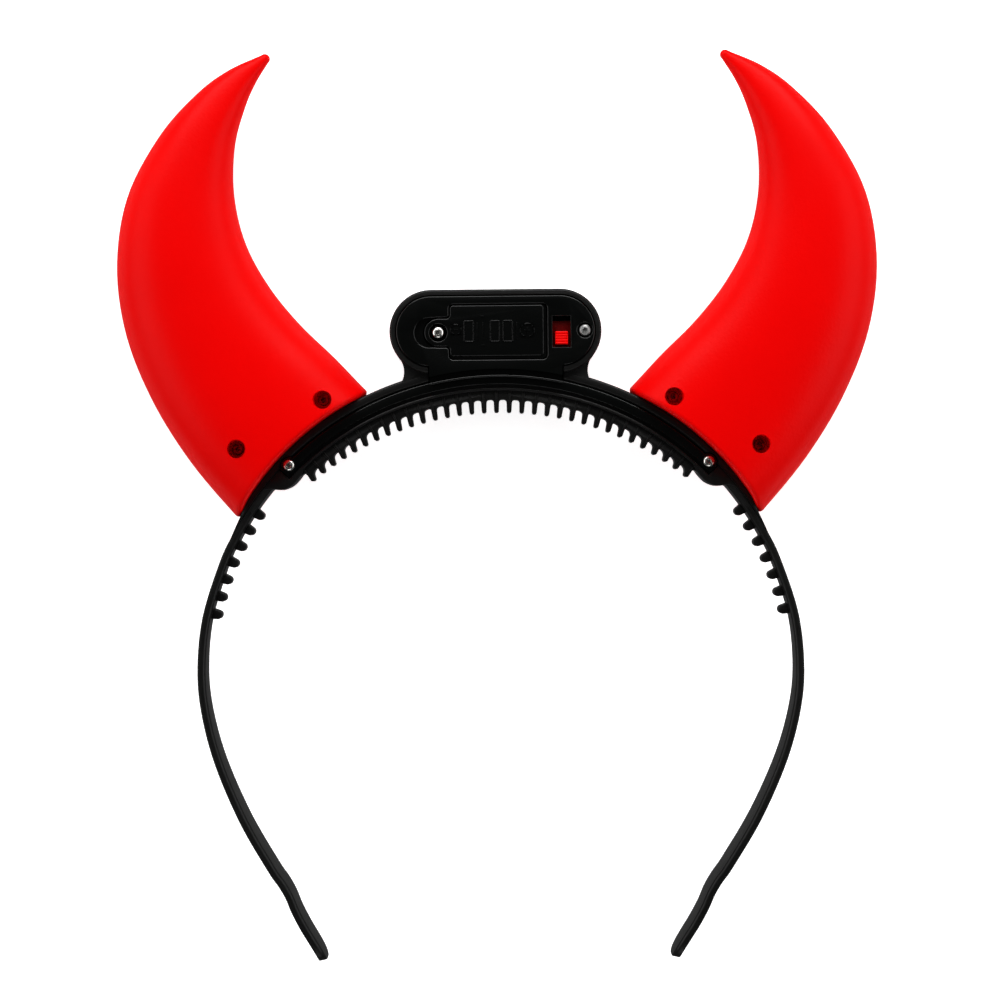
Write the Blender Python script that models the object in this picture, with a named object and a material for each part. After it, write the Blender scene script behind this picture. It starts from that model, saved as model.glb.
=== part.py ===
"""Light-up devil horns headband, lying on its front with the battery side up.

A black moulded band with a comb carries a battery housing on top of its arch. One back
cover closes the housing and the wire channel in the arch. Each red horn is a pair of
hollow half shells, screwed together over two tabs of the band.

X runs to the wearer's right hand as seen from the back, Y from the band's tips to the
horns' tips, and Z up through the thickness. Everything is in metres.
"""

import math

import bmesh
import bpy
from mathutils import Vector

# The three sizes that set the rest: how deep the horns are, the gap that parts made to
# fit each other keep, and the height of the plane in which the horns' halves meet.
HORN_DEPTH = 0.0230
GAP = 0.0003
MID = HORN_DEPTH / 2

# The arch of the band: circles about one centre, which lies below the origin.
ARC_Y = -0.0412
RIM_RADIUS = 0.0744
STRIP_OUTER = 0.0721
STRIP_INNER = 0.0693
LIP_INNER = 0.0683
ROOT_RADIUS = 0.0663
CHANNEL_OUTER = 0.0717
CHANNEL_INNER = 0.0698
STRIP_END = math.radians(46.1)
CHANNEL_END = math.radians(40.0)
ARCH_STEP = math.radians(3.5)

# Levels of the band and its cover, from the front face up to the back face.
ARCH_FRONT = MID - 0.0050
CHANNEL_FLOOR = ARCH_FRONT + 0.0015
RIM_TOP = MID + 0.0050
STRIP_TOP = MID + 0.0046
STRIP_THICK = 0.0011
STRIP_SEAT = STRIP_TOP - STRIP_THICK - GAP
LIP_TOP = MID + 0.0043
WEB_TOP = RIM_TOP - 0.00005
NECK_SEAT = MID + 0.0041
ARM_TOP = MID + 0.0037
FLANGE_LOW = MID - 0.0025
FLANGE_TOP = MID + 0.0032
ARM_TOOTH_TOP = MID + 0.0020
END_HOLE_FLOOR = ARCH_FRONT + 0.0020

# Where the band's outer edge tapers under the horns, down to the thickness of the arms.
TAPER_START = math.radians(24.5)
TAPER_END = math.radians(58.5)
TAPER = 0.0011
ARCH_END = math.radians(62.0)
ARM_RADIUS = 0.0724
SLOPE_START = math.radians(46.0)

# The battery housing, a round-ended box whose centre is set from the origin.
HOUSING_X = -0.0005
HOUSING_Y = 0.0411
HOUSING_END_X = 0.01525
HOUSING_RADIUS = 0.0099
HOUSING_FRONT = MID - 0.0075
HOUSING_RIM_TOP = MID + 0.0068
HOUSING_WALL = 0.0016
COVER_RADIUS = 0.0083
COVER_TOP = MID + 0.0071
COVER_THICK = 0.0015
COVER_SEAT = COVER_TOP - COVER_THICK - GAP
LEDGE = 0.0009
NECK_HALF = 0.0158
WEB_FILLET = 0.0052
WEB_FILLET_ANGLE = math.radians(-38.6)

# The battery door, measured from the housing's centre, and its round lug.
DOOR_LEFT = -0.0108
DOOR_RIGHT = 0.0120
DOOR_LOW = -0.0065
DOOR_HIGH = 0.0061
DOOR_CORNER = 0.0008
DOOR_INNER_CORNER = 0.0009
DOOR_SUNK = 0.0002
DOOR_SINK = 0.0006
LUG_X = -0.0136
LUG_Y = -0.0003
LUG_RADIUS = 0.0033
NOTCH_RADIUS = 0.0035
NOTCH_SHIFT = 0.0021
NOTCH_DEPTH = 0.0011
CELL_BOX_WALL = 0.0010
CELL_BOX_IN = 0.0004
CELL_FLOOR = HOUSING_FRONT + 0.0012

# The slide switch, measured from the housing's centre. It rests at the low end.
SLOT_X = 0.01565
SLOT_WIDTH = 0.0043
SLOT_LOW = -0.0040
SLOT_HIGH = 0.0034
NUB_WIDTH = 0.0031
NUB_LENGTH = 0.0033
NUB_LOW = -0.0034
NUB_TOP = COVER_TOP + 0.0004
SLIDER_HALF_WIDTH = 0.0026
SLIDER_REACH = 0.0024
SLIDER_THICK = 0.0008
RAIL_HALF_WIDTH = 0.0015

# Screws: self-tapping, pan head, cross recess.
HEAD_RADIUS = 0.0015
HEAD_THICK = 0.0010
SHANK_RADIUS = 0.0007
HOLE_RADIUS = 0.0010
POST_RADIUS = 0.0023
SINK_RADIUS = 0.0018
SINK_DEPTH = 0.0010
END_SCREW_RADIUS = 0.0713
END_SCREW_ANGLE = math.radians(44.4)
END_LOBE = 0.0019
HOUSING_SCREW_X = 0.0212

# The horns' fastening: two tabs of the band in each, and a boss on each side of a tab.
TABS = (  # x, y of the screw, on the right-hand side
    (0.0415, 0.0251),
    (0.0619, 0.0136),
)
TAB_HALF = 0.0028
TAB_THICK = 0.0022
BOSS_RADIUS = 0.0031
BORE_RADIUS = 0.00215
BORE_FLOOR = MID + 0.0048
FRONT_HOLE_FLOOR = MID - 0.0075
HORN_SCREW_LENGTH = 0.0105
END_SCREW_LENGTH = 0.0055
HOUSING_SCREW_LENGTH = 0.0050
HORN_WALL = 0.0016
HORN_BASE_GAP = 0.0003

# The right-hand horn, section by section from below its base to its tip: a point on the
# outer edge, a point on the inner edge, and half its depth there.
HORN_SECTIONS = (  # outer x, outer y, inner x, inner y, half depth
    (0.0535, -0.0120, 0.0215, 0.0175, 0.01120),
    (0.0634, -0.0016, 0.0310, 0.0268, 0.01150),
    (0.0740, 0.0112, 0.0390, 0.0353, 0.01150),
    (0.0828, 0.0256, 0.0474, 0.0436, 0.01130),
    (0.0889, 0.0413, 0.0547, 0.0528, 0.01080),
    (0.09095, 0.0578, 0.0602, 0.0632, 0.00990),
    (0.0883, 0.0743, 0.0628, 0.0747, 0.00840),
    (0.0804, 0.0890, 0.0625, 0.0864, 0.00630),
    (0.0714, 0.0990, 0.0600, 0.0955, 0.00420),
    (0.0639, 0.1045, 0.0574, 0.1014, 0.00260),
    (0.0549, 0.10845, 0.0535, 0.1077, 0.00070),
)
HORN_STEPS = 2
HORN_ARC_POINTS = 10
HORN_ROUNDNESS = 2.2

# The right-hand arm from the shoulder to the tip: its outer edge and its width in Z.
ARM_THICK = 0.0018
ARM_CHAMFER = 0.0004
ARM_STEPS = 2
ARM_SECTIONS = (  # x, y, width
    (0.0601, -0.0007, 0.0074),
    (0.0640, -0.0073, 0.0074),
    (0.0669, -0.0135, 0.0076),
    (0.0709, -0.0260, 0.0082),
    (0.0722, -0.0380, 0.0092),
    (0.0714, -0.0485, 0.0103),
    (0.0681, -0.0610, 0.0117),
    (0.0620, -0.0750, 0.0128),
    (0.0552, -0.0866, 0.0128),
    (0.0508, -0.0942, 0.0122),
    (0.0466, -0.1022, 0.0115),
    (0.0436, -0.1073, 0.0104),
    (0.0430, -0.10845, 0.0070),
)

# The comb under the arch, and the short teeth on each arm.
COMB_TEETH = 33
COMB_PITCH = math.radians(2.697)
COMB_TURN = math.radians(-0.4)
TIP_RADIUS = 0.0631
TIP_RISE = 0.0017
TOOTH_LEAN = 0.4
GAP_RISE = 0.0003
COMB_END = 0.0674
ROOT_HALF = 0.00084
ROOT_SPREAD = 0.00030
TIP_HALF = 0.00052
ARM_TEETH = 7
ARM_TOOTH_FIRST = math.radians(55.7)
ARM_TOOTH_PITCH = math.radians(3.57)
ARM_TOOTH_TIP = 0.0682
ARM_TOOTH_ROOT = 0.0712
ARM_TOOTH_HALF = 0.00095

for old in list(bpy.data.objects):
    bpy.data.objects.remove(old, do_unlink=True)


def material(name, colour, roughness, metallic=0.0):
    made = bpy.data.materials.new(name)
    made.use_nodes = True
    shader = made.node_tree.nodes["Principled BSDF"]
    shader.inputs["Base Color"].default_value = (*colour, 1)
    shader.inputs["Roughness"].default_value = roughness
    shader.inputs["Metallic"].default_value = metallic
    return made


BLACK = material("black_plastic", (0.012, 0.013, 0.013), 0.38)
RED = material("red_plastic", (0.80, 0.003, 0.002), 0.40)
STEEL = material("screw_steel", (0.62, 0.60, 0.56), 0.28, 1.0)


def polar(radius, angle):
    """A point of the arch: angle 0 is straight up from its centre, and grows to +X."""
    return radius * math.sin(angle), ARC_Y + radius * math.cos(angle)


def arc(x, y, radius, start, end, parts):
    """Points along a circle, by its ordinary angle from +X, both ends included."""
    turn = (end - start) / parts
    angles = [start + turn * i for i in range(parts + 1)]
    return [(x + radius * math.cos(a), y + radius * math.sin(a)) for a in angles]


def circle(x, y, radius, parts):
    return arc(x, y, radius, 0, math.tau * (1 - 1 / parts), parts - 1)


def stadium(radius, parts=14):
    """The housing's outline, at its end radius or one set in from it."""
    right = arc(HOUSING_X + HOUSING_END_X, HOUSING_Y, radius, -math.pi / 2, math.pi / 2, parts)
    left = arc(
        HOUSING_X - HOUSING_END_X, HOUSING_Y, radius, math.pi / 2, math.pi * 1.5, parts
    )
    return right + left


def ring_sector(inner, outer, start, end):
    """A piece of a ring about the arch's centre, from one angle to another."""
    parts = max(2, round((end - start) / ARCH_STEP))
    angles = [start + (end - start) * i / parts for i in range(parts + 1)]
    return [polar(outer, a) for a in angles] + [polar(inner, a) for a in reversed(angles)]


def rectangle(left, right, low, high):
    return [(left, low), (right, low), (right, high), (left, high)]


def spline(rows, steps):
    """The rows with more between them, on a smooth curve through every row."""
    rows = [list(row) for row in rows]
    first = [2 * a - b for a, b in zip(rows[0], rows[1])]
    last = [2 * a - b for a, b in zip(rows[-1], rows[-2])]
    knots = [first] + rows + [last]
    made = []
    for before, start, end, after in zip(knots, knots[1:], knots[2:], knots[3:]):
        for step in range(steps):
            t = step / steps
            made.append(
                [
                    b + t * ((c - a) + t * ((2 * a - 5 * b + 4 * c - d) + t * (3 * (b - c) + d - a))) / 2
                    for a, b, c, d in zip(before, start, end, after)
                ]
            )
    return made + [rows[-1]]


def to_object(name, shape, look=None):
    """The object that a bmesh becomes; one with no look is a hidden cutter or addition."""
    bmesh.ops.recalc_face_normals(shape, faces=shape.faces)
    mesh = bpy.data.meshes.new(name)
    shape.to_mesh(mesh)
    shape.free()
    made = bpy.data.objects.new(name, mesh)
    bpy.context.scene.collection.objects.link(made)
    if look:
        mesh.materials.append(look)
        mesh.shade_smooth()
        mesh.set_sharp_from_angle(angle=math.radians(35))
    else:
        made.hide_render = True
        made.display_type = "WIRE"
    return made


def prism(name, outline, low, high, look=None):
    """An outline in X and Y, raised straight from one height to another."""
    shape = bmesh.new()
    face = shape.faces.new([shape.verts.new((x, y, low)) for x, y in outline])
    raised = bmesh.ops.extrude_face_region(shape, geom=[face], use_keep_orig=True)
    moved = [item for item in raised["geom"] if isinstance(item, bmesh.types.BMVert)]
    bmesh.ops.translate(shape, verts=moved, vec=(0, 0, high - low))
    return to_object(name, shape, look)


def loft(name, rings, look=None):
    """A skin over rings that have the same number of points, closed at both ends."""
    shape = bmesh.new()
    loops = [[shape.verts.new(point) for point in ring] for ring in rings]
    for lower, upper in zip(loops, loops[1:]):
        for i in range(len(lower)):
            shape.faces.new((lower[i - 1], lower[i], upper[i], upper[i - 1]))
    shape.faces.new(loops[0])
    shape.faces.new(loops[-1])
    return to_object(name, shape, look)


def boolean(target, other, operation):
    change = target.modifiers.new(other.name, "BOOLEAN")
    change.operation = operation
    change.object = other
    change.solver = "EXACT"


def add(target, *others):
    for other in others:
        boolean(target, other, "UNION")


def cut(target, *others):
    for other in others:
        boolean(target, other, "DIFFERENCE")


def rim_radius(angle):
    """The arch's outer edge, which draws in under the horns and then meets the arm."""
    turned = abs(angle)
    along = (min(turned, TAPER_END) - TAPER_START) / (TAPER_END - TAPER_START)
    radius = RIM_RADIUS - TAPER * max(0, along) ** 2
    past = max(0, (turned - TAPER_END) / (ARCH_END - TAPER_END))
    return radius + (ARM_RADIUS - radius) * past


def ramp(name, sign, outer, start_height):
    """All that lies above a slope, which falls along the arch to the top of an arm."""
    inner = LIP_INNER - 0.004
    end = ARCH_END * 1.05
    levels = (  # angle, height
        (SLOPE_START, start_height + 0.00005),
        ((SLOPE_START + end) / 2, (start_height + ARM_TOP) / 2),
        (end, ARM_TOP),
    )
    rings = [
        [
            (*polar(inner, sign * angle), low),
            (*polar(outer, sign * angle), low),
            (*polar(outer, sign * angle), beyond_back),
            (*polar(inner, sign * angle), beyond_back),
        ]
        for angle, low in levels
    ]
    return loft(name, rings)


def arch_outline():
    """The arch from arm to arm. Its inner edge has a pad under each end screw."""
    shoulder = (  # degrees from the middle, radius
        (42.5, LIP_INNER),
        (44.5, 0.0676),
        (46.8, 0.0675),
        (48.9, 0.0686),
        (50.6, 0.0701),
        (53.0, 0.0707),
        (57.0, 0.0706),
        (62.0, 0.0706),
    )
    outer_parts = 36
    outer = [ARCH_END * (2 * i / outer_parts - 1) for i in range(outer_parts + 1)]
    pad = [(math.radians(degrees), radius) for degrees, radius in spline(shoulder, 2)]
    middle_parts = 24
    span = math.radians(shoulder[0][0])
    middle = [(span * (1 - 2 * i / middle_parts), LIP_INNER) for i in range(1, middle_parts)]
    inner = pad[::-1] + middle + [(-angle, radius) for angle, radius in pad]
    return [polar(rim_radius(a), a) for a in outer] + [polar(r, a) for a, r in inner]


def comb_outline():
    """The flange with its 33 teeth, each with a round tip, and an arched gap beside it."""
    last = (COMB_TEETH - 1) / 2
    edge = []
    for number in range(COMB_TEETH):
        place = number - last
        angle = place * COMB_PITCH + COMB_TURN
        share = (place / last) ** 2
        tip = Vector(polar(TIP_RADIUS + TIP_RISE * share, angle))
        lean = angle * (1 - TOOTH_LEAN)
        down = Vector((-math.sin(lean), -math.cos(lean)))
        side = Vector((down.y, -down.x)) * -1
        length = ROOT_RADIUS - TIP_RADIUS - TIP_RISE * share
        root_half = ROOT_HALF + ROOT_SPREAD * share
        root = tip - down * length
        shoulder = tip - down * 0.00045
        gap_radius = ROOT_RADIUS + GAP_RISE if number else COMB_END
        edge.append(polar(gap_radius, angle - COMB_PITCH / 2))
        edge.append(tuple(root - side * root_half))
        edge.append(tuple(shoulder - side * TIP_HALF))
        edge.append(tuple(tip - side * TIP_HALF * 0.5))
        edge.append(tuple(tip + side * TIP_HALF * 0.5))
        edge.append(tuple(shoulder + side * TIP_HALF))
        edge.append(tuple(root + side * root_half))
    edge.append(polar(COMB_END, (last + 0.5) * COMB_PITCH + COMB_TURN))
    back_half = (last + 0.5) * COMB_PITCH
    parts = 24
    for step in range(parts + 1):
        angle = back_half * (1 - 2 * step / parts) + COMB_TURN
        edge.append(polar(LIP_INNER + 0.0006, angle))
    return edge


def arm_tooth_outline(angle):
    """One short tooth of an arm, pointing to the arch's centre, with a round tip."""
    out = Vector((math.sin(angle), math.cos(angle)))
    side = Vector((out.y, -out.x))
    centre = Vector((0, ARC_Y))
    half = ARM_TOOTH_HALF
    spots = (  # distance from the centre, offset to the side
        (ARM_TOOTH_ROOT, -half * 1.15),
        (ARM_TOOTH_ROOT, half * 1.15),
        (ARM_TOOTH_TIP + 0.0006, half * 0.85),
        (ARM_TOOTH_TIP + 0.0001, half * 0.45),
        (ARM_TOOTH_TIP, 0),
        (ARM_TOOTH_TIP + 0.0001, -half * 0.45),
        (ARM_TOOTH_TIP + 0.0006, -half * 0.85),
    )
    return [tuple(centre + out * reach + side * offset) for reach, offset in spots]


def arm(name, sign):
    """One springy arm: a thin strip on edge, lofted along its outer edge."""
    rows = spline(ARM_SECTIONS, ARM_STEPS)
    rings = []
    for number, (x, y, width) in enumerate(rows):
        ahead = rows[min(number + 1, len(rows) - 1)]
        behind = rows[max(number - 1, 0)]
        run = Vector((ahead[0] - behind[0], ahead[1] - behind[1])).normalized()
        inward = Vector((run.y, -run.x))
        half, c = width / 2, ARM_CHAMFER
        corners = (  # distance in from the outer edge, height above the middle
            (c, -half),
            (ARM_THICK - c, -half),
            (ARM_THICK, -half + c),
            (ARM_THICK, half - c),
            (ARM_THICK - c, half),
            (c, half),
            (0, half - c),
            (0, -half + c),
        )
        rings.append(
            [
                (sign * (x + inward.x * depth), y + inward.y * depth, MID + height)
                for depth, height in corners
            ]
        )
    return loft(name, rings)


def tab_outline(x, y, half, base):
    """A round-ended tab that stands out from the arch to a horn's screw."""
    reach = math.hypot(x, y - ARC_Y)
    angle = math.atan2(x, y - ARC_Y)
    out = Vector((math.sin(angle), math.cos(angle)))
    side = Vector((out.y, -out.x))
    centre = Vector((0, ARC_Y))
    points = [centre + out * base - side * half, centre + out * base + side * half]
    for step in range(9):
        turn = math.pi * step / 8
        points.append(
            centre + out * (reach + half * math.sin(turn)) + side * half * math.cos(turn)
        )
    return [tuple(point) for point in points]


def lug_outline(grow):
    """The battery door: a rectangle whose left side runs out into a round lug."""
    left, right = DOOR_LEFT - grow, DOOR_RIGHT + grow
    low, high = DOOR_LOW - grow, DOOR_HIGH + grow
    radius = LUG_RADIUS + grow
    corner = DOOR_CORNER
    hollow = DOOR_INNER_CORNER - grow
    quarter = math.pi / 2
    outline = arc(right - corner, low + corner, corner, -quarter, 0, 3)
    outline += arc(right - corner, high - corner, corner, 0, quarter, 3)
    outline += arc(left + corner, high - corner, corner, quarter, 2 * quarter, 3)
    outline += arc(left - hollow, LUG_Y + radius + hollow, hollow, 0, -quarter, 3)
    outline += arc(LUG_X, LUG_Y, radius, quarter, 3 * quarter, 12)
    outline += arc(left - hollow, LUG_Y - radius - hollow, hollow, quarter, 0, 3)
    outline += arc(left + corner, low + corner, corner, 2 * quarter, 3 * quarter, 3)
    return [(HOUSING_X + x, HOUSING_Y + y) for x, y in outline]


def housing_box(left, right, low, high):
    return rectangle(HOUSING_X + left, HOUSING_X + right, HOUSING_Y + low, HOUSING_Y + high)


def cover_outline(radius, half, low_radius):
    """The round-ended plate with its neck, which ends on an arc near the strip."""
    turn = math.asin((half - HOUSING_END_X) / radius)
    right = arc(
        HOUSING_X + HOUSING_END_X, HOUSING_Y, radius, turn - math.pi / 2, math.pi / 2, 14
    )
    left = [(2 * HOUSING_X - x, y) for x, y in reversed(right)]
    return right + left + neck_foot(half, low_radius)


def neck_foot(half, low_radius):
    """The arc that ends the neck, from its left side to its right."""
    start = math.asin((HOUSING_X - half) / low_radius)
    end = math.asin((HOUSING_X + half) / low_radius)
    return [polar(low_radius, start + (end - start) * i / 8) for i in range(9)]


def neck_outline(half, low_radius, grow):
    """The neck alone, from that arc up to the plate's straight lower edge."""
    top = HOUSING_Y - COVER_RADIUS + grow
    return [(HOUSING_X + half, top), (HOUSING_X - half, top)] + neck_foot(half, low_radius)


def web_outline():
    """The band's neck under the housing, with a hollow curve on each side."""
    reach = HOUSING_RADIUS + WEB_FILLET - 0.00002
    fillet_x = HOUSING_END_X + reach * math.cos(WEB_FILLET_ANGLE)
    fillet_y = HOUSING_Y + reach * math.sin(WEB_FILLET_ANGLE)
    touch = WEB_FILLET_ANGLE + math.pi
    side = arc(fillet_x, fillet_y, WEB_FILLET, math.pi * 1.36, touch, 8)
    top = HOUSING_Y - 0.002
    right = [(HOUSING_X + x, y) for x, y in side]
    left = [(HOUSING_X - x, y) for x, y in reversed(side)]
    foot = [polar(CHANNEL_OUTER + 0.001, math.radians(a)) for a in (20, 10, 0, -10, -20)]
    return (
        [(HOUSING_X - 0.012, top), (HOUSING_X + 0.012, top)]
        + list(reversed(right))
        + foot
        + list(reversed(left))
    )


beyond_back = COVER_TOP + 0.002
screw_places = {
    "door": (HOUSING_X + LUG_X, HOUSING_Y + LUG_Y),
    "housing": (HOUSING_X + HOUSING_SCREW_X, HOUSING_Y),
    "left": polar(END_SCREW_RADIUS, -END_SCREW_ANGLE),
    "right": polar(END_SCREW_RADIUS, END_SCREW_ANGLE),
}
tab_places = {
    f"{side}_{level}": (sign * x, y)
    for side, sign in (("left", -1), ("right", 1))
    for level, (x, y) in zip(("upper", "lower"), TABS)
}

# Headband: one moulding, with the arch, housing tray, comb, arms, teeth and horn tabs.
headband = prism("headband", arch_outline(), ARCH_FRONT, RIM_TOP, BLACK)
add(
    headband,
    prism("tray_block", stadium(HOUSING_RADIUS), HOUSING_FRONT, HOUSING_RIM_TOP),
    prism("web_block", web_outline(), ARCH_FRONT + 0.0002, WEB_TOP),
)
cut(
    headband,
    prism("tray_pocket", stadium(COVER_RADIUS - LEDGE), HOUSING_FRONT + HOUSING_WALL, beyond_back),
    prism("cover_seat", stadium(COVER_RADIUS + GAP), COVER_SEAT, beyond_back),
    prism("neck_seat", neck_outline(NECK_HALF + GAP, STRIP_INNER, GAP), NECK_SEAT, beyond_back),
    prism(
        "strip_seat",
        ring_sector(
            STRIP_INNER - GAP,
            STRIP_OUTER + GAP,
            -STRIP_END - GAP / STRIP_OUTER,
            STRIP_END + GAP / STRIP_OUTER,
        ),
        STRIP_SEAT,
        beyond_back,
    ),
    prism(
        "lip_cut",
        ring_sector(LIP_INNER - 0.004, STRIP_INNER - 0.0001, -STRIP_END * 1.2, STRIP_END * 1.2),
        LIP_TOP,
        beyond_back,
    ),
    prism(
        "wire_channel",
        ring_sector(CHANNEL_INNER, CHANNEL_OUTER, -CHANNEL_END, CHANNEL_END),
        CHANNEL_FLOOR,
        beyond_back,
    ),
)
for side, sign in (("left", -1), ("right", 1)):
    end = screw_places[side]
    cut(
        headband,
        ramp(f"pad_cut_{side}", sign, STRIP_OUTER + GAP, LIP_TOP),
        ramp(f"rim_cut_{side}", sign, RIM_RADIUS + 0.002, RIM_TOP),
        prism(f"lobe_seat_{side}", circle(*end, END_LOBE + GAP, 20), STRIP_SEAT, beyond_back),
        prism(f"end_hole_{side}", circle(*end, HOLE_RADIUS, 12), END_HOLE_FLOOR, beyond_back),
    )

# Inside the housing: a cell box for three button cells on edge, two screw posts and the
# rail that keeps the switch's slider up.
inside_low = HOUSING_FRONT + HOUSING_WALL - 0.0004
rail_top = COVER_TOP - COVER_THICK - SLIDER_THICK - 2 * GAP
post_top = COVER_SEAT - 0.0001
door_place = screw_places["door"]
housing_place = screw_places["housing"]
add(
    headband,
    prism(
        "cell_box",
        housing_box(
            DOOR_LEFT + CELL_BOX_IN - CELL_BOX_WALL,
            DOOR_RIGHT - CELL_BOX_IN + CELL_BOX_WALL,
            LEDGE / 2 - COVER_RADIUS,
            COVER_RADIUS - LEDGE / 2,
        ),
        inside_low,
        post_top,
    ),
    prism("door_post", circle(*door_place, POST_RADIUS, 14), inside_low, post_top),
    prism("housing_post", circle(*housing_place, POST_RADIUS, 14), inside_low, post_top),
    prism(
        "switch_rail",
        housing_box(
            SLOT_X - RAIL_HALF_WIDTH,
            SLOT_X + RAIL_HALF_WIDTH,
            NUB_LOW - SLIDER_REACH,
            SLOT_HIGH + SLIDER_REACH,
        ),
        inside_low,
        rail_top,
    ),
)
cut(
    headband,
    prism(
        "cell_pocket",
        housing_box(
            DOOR_LEFT + CELL_BOX_IN,
            DOOR_RIGHT - CELL_BOX_IN,
            DOOR_LOW + CELL_BOX_IN,
            DOOR_HIGH - CELL_BOX_IN,
        ),
        CELL_FLOOR,
        beyond_back,
    ),
    prism("door_post_hole", circle(*door_place, HOLE_RADIUS, 12), MID, beyond_back),
    prism("housing_post_hole", circle(*housing_place, HOLE_RADIUS, 12), MID, beyond_back),
)
add(headband, prism("comb", comb_outline(), FLANGE_LOW, FLANGE_TOP))
for side, sign in (("left", -1), ("right", 1)):
    add(headband, arm(f"arm_{side}", sign))
    for number in range(ARM_TEETH):
        outline = arm_tooth_outline(sign * (ARM_TOOTH_FIRST + number * ARM_TOOTH_PITCH))
        add(headband, prism(f"tooth_{side}_{number}", outline, FLANGE_LOW, ARM_TOOTH_TOP))
for place, (x, y) in tab_places.items():
    outline = tab_outline(x, y, TAB_HALF, RIM_RADIUS - 0.0018)
    hole = circle(x, y, HOLE_RADIUS, 12)
    add(headband, prism(f"tab_{place}", outline, MID - TAB_THICK / 2, MID + TAB_THICK / 2))
    cut(headband, prism(f"tab_hole_{place}", hole, MID - TAB_THICK, MID + TAB_THICK))

# Back cover: a round-ended plate over the housing, whose neck steps down to a strip
# along the arch. Both ends of the strip widen round their screws.
back_cover = prism(
    "back_cover",
    cover_outline(COVER_RADIUS, NECK_HALF, STRIP_OUTER - 0.0006),
    COVER_TOP - COVER_THICK,
    COVER_TOP,
    BLACK,
)
skirt_half = NECK_HALF - 0.0001
add(
    back_cover,
    prism(
        "neck_skirt",
        neck_outline(skirt_half, STRIP_OUTER - 0.0005, 0),
        NECK_SEAT + GAP,
        COVER_TOP - COVER_THICK / 2,
    ),
    prism(
        "strip",
        ring_sector(STRIP_INNER, STRIP_OUTER, -STRIP_END, STRIP_END),
        STRIP_TOP - STRIP_THICK,
        STRIP_TOP,
    ),
    prism(
        "neck_step",
        ring_sector(
            STRIP_OUTER - 0.0009,
            STRIP_OUTER - 0.0001,
            math.asin((HOUSING_X - skirt_half) / STRIP_OUTER),
            math.asin((HOUSING_X + skirt_half) / STRIP_OUTER),
        ),
        STRIP_TOP - STRIP_THICK + 0.0001,
        COVER_TOP - COVER_THICK / 2,
    ),
)
notch = arc(LUG_X - NOTCH_SHIFT, LUG_Y, NOTCH_RADIUS, math.pi / 2, math.pi * 1.5, 10)
notch += [(LUG_X, LUG_Y - NOTCH_RADIUS), (LUG_X, LUG_Y + NOTCH_RADIUS)]
notch = [(HOUSING_X + x, HOUSING_Y + y) for x, y in notch]
slot = housing_box(SLOT_X - SLOT_WIDTH / 2, SLOT_X + SLOT_WIDTH / 2, SLOT_LOW, SLOT_HIGH)
sink = circle(*housing_place, SINK_RADIUS, 16)
for side in ("left", "right"):
    add(
        back_cover,
        prism(
            f"lobe_{side}",
            circle(*screw_places[side], END_LOBE, 20),
            STRIP_TOP - STRIP_THICK + 0.00005,
            STRIP_TOP - 0.00005,
        ),
    )
cut(
    back_cover,
    prism("door_opening", lug_outline(GAP), MID, beyond_back),
    prism("slot", slot, MID, beyond_back),
    prism("notch", notch, COVER_TOP - NOTCH_DEPTH, beyond_back),
    prism("housing_sink", sink, COVER_TOP - SINK_DEPTH, beyond_back),
)
for place in ("left", "right", "housing"):
    hole = circle(*screw_places[place], HOLE_RADIUS, 12)
    cut(back_cover, prism(f"cover_hole_{place}", hole, MID, beyond_back))

# Battery door: a thin plate with a round lug, sunk round its screw.
door_top = COVER_TOP - DOOR_SUNK
battery_door = prism("battery_door", lug_outline(0), door_top - COVER_THICK, door_top, BLACK)
door_sink = circle(*door_place, SINK_RADIUS + 0.0005, 20)
cut(
    battery_door,
    prism("door_sink", door_sink, door_top - DOOR_SINK, beyond_back),
    prism("door_hole", circle(*door_place, HOLE_RADIUS, 12), MID, beyond_back),
)

# Slide switch: a flat slider under the cover, and a nub that stands up through the slot.
# Its shape is drawn about the nub's centre, where its object's origin goes: it slides
# along Y from there.
slider_top = COVER_TOP - COVER_THICK - GAP
slider_half = NUB_LENGTH / 2 + SLIDER_REACH
nub = rectangle(-NUB_WIDTH / 2, NUB_WIDTH / 2, -NUB_LENGTH / 2, NUB_LENGTH / 2)
slider = rectangle(-SLIDER_HALF_WIDTH, SLIDER_HALF_WIDTH, -slider_half, slider_half)
switch_button = prism("switch_button", slider, -SLIDER_THICK, 0, RED)
nub_block = prism("nub", nub, -SLIDER_THICK / 2, NUB_TOP - slider_top)
add(switch_button, nub_block)
for piece in (switch_button, nub_block):
    piece.location = (
        HOUSING_X + SLOT_X,
        HOUSING_Y + NUB_LOW + NUB_LENGTH / 2,
        slider_top,
    )


def screw(name, x, y, seat, length):
    """A pan-head screw standing on its seat, its shank pointing to the front."""
    shape = bmesh.new()
    rings = (  # radius, height above the seat
        (SHANK_RADIUS, -length),
        (SHANK_RADIUS, GAP),
        (HEAD_RADIUS, GAP),
        (HEAD_RADIUS, GAP + HEAD_THICK * 0.65),
        (HEAD_RADIUS * 0.72, GAP + HEAD_THICK),
    )
    parts = 14
    loops = [
        [shape.verts.new((px, py, seat + height)) for px, py in circle(x, y, radius, parts)]
        for radius, height in rings
    ]
    for lower, upper in zip(loops, loops[1:]):
        for i in range(parts):
            shape.faces.new((lower[i - 1], lower[i], upper[i], upper[i - 1]))
    shape.faces.new(loops[0])
    shape.faces.new(loops[-1])
    return to_object(name, shape, STEEL)


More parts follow.
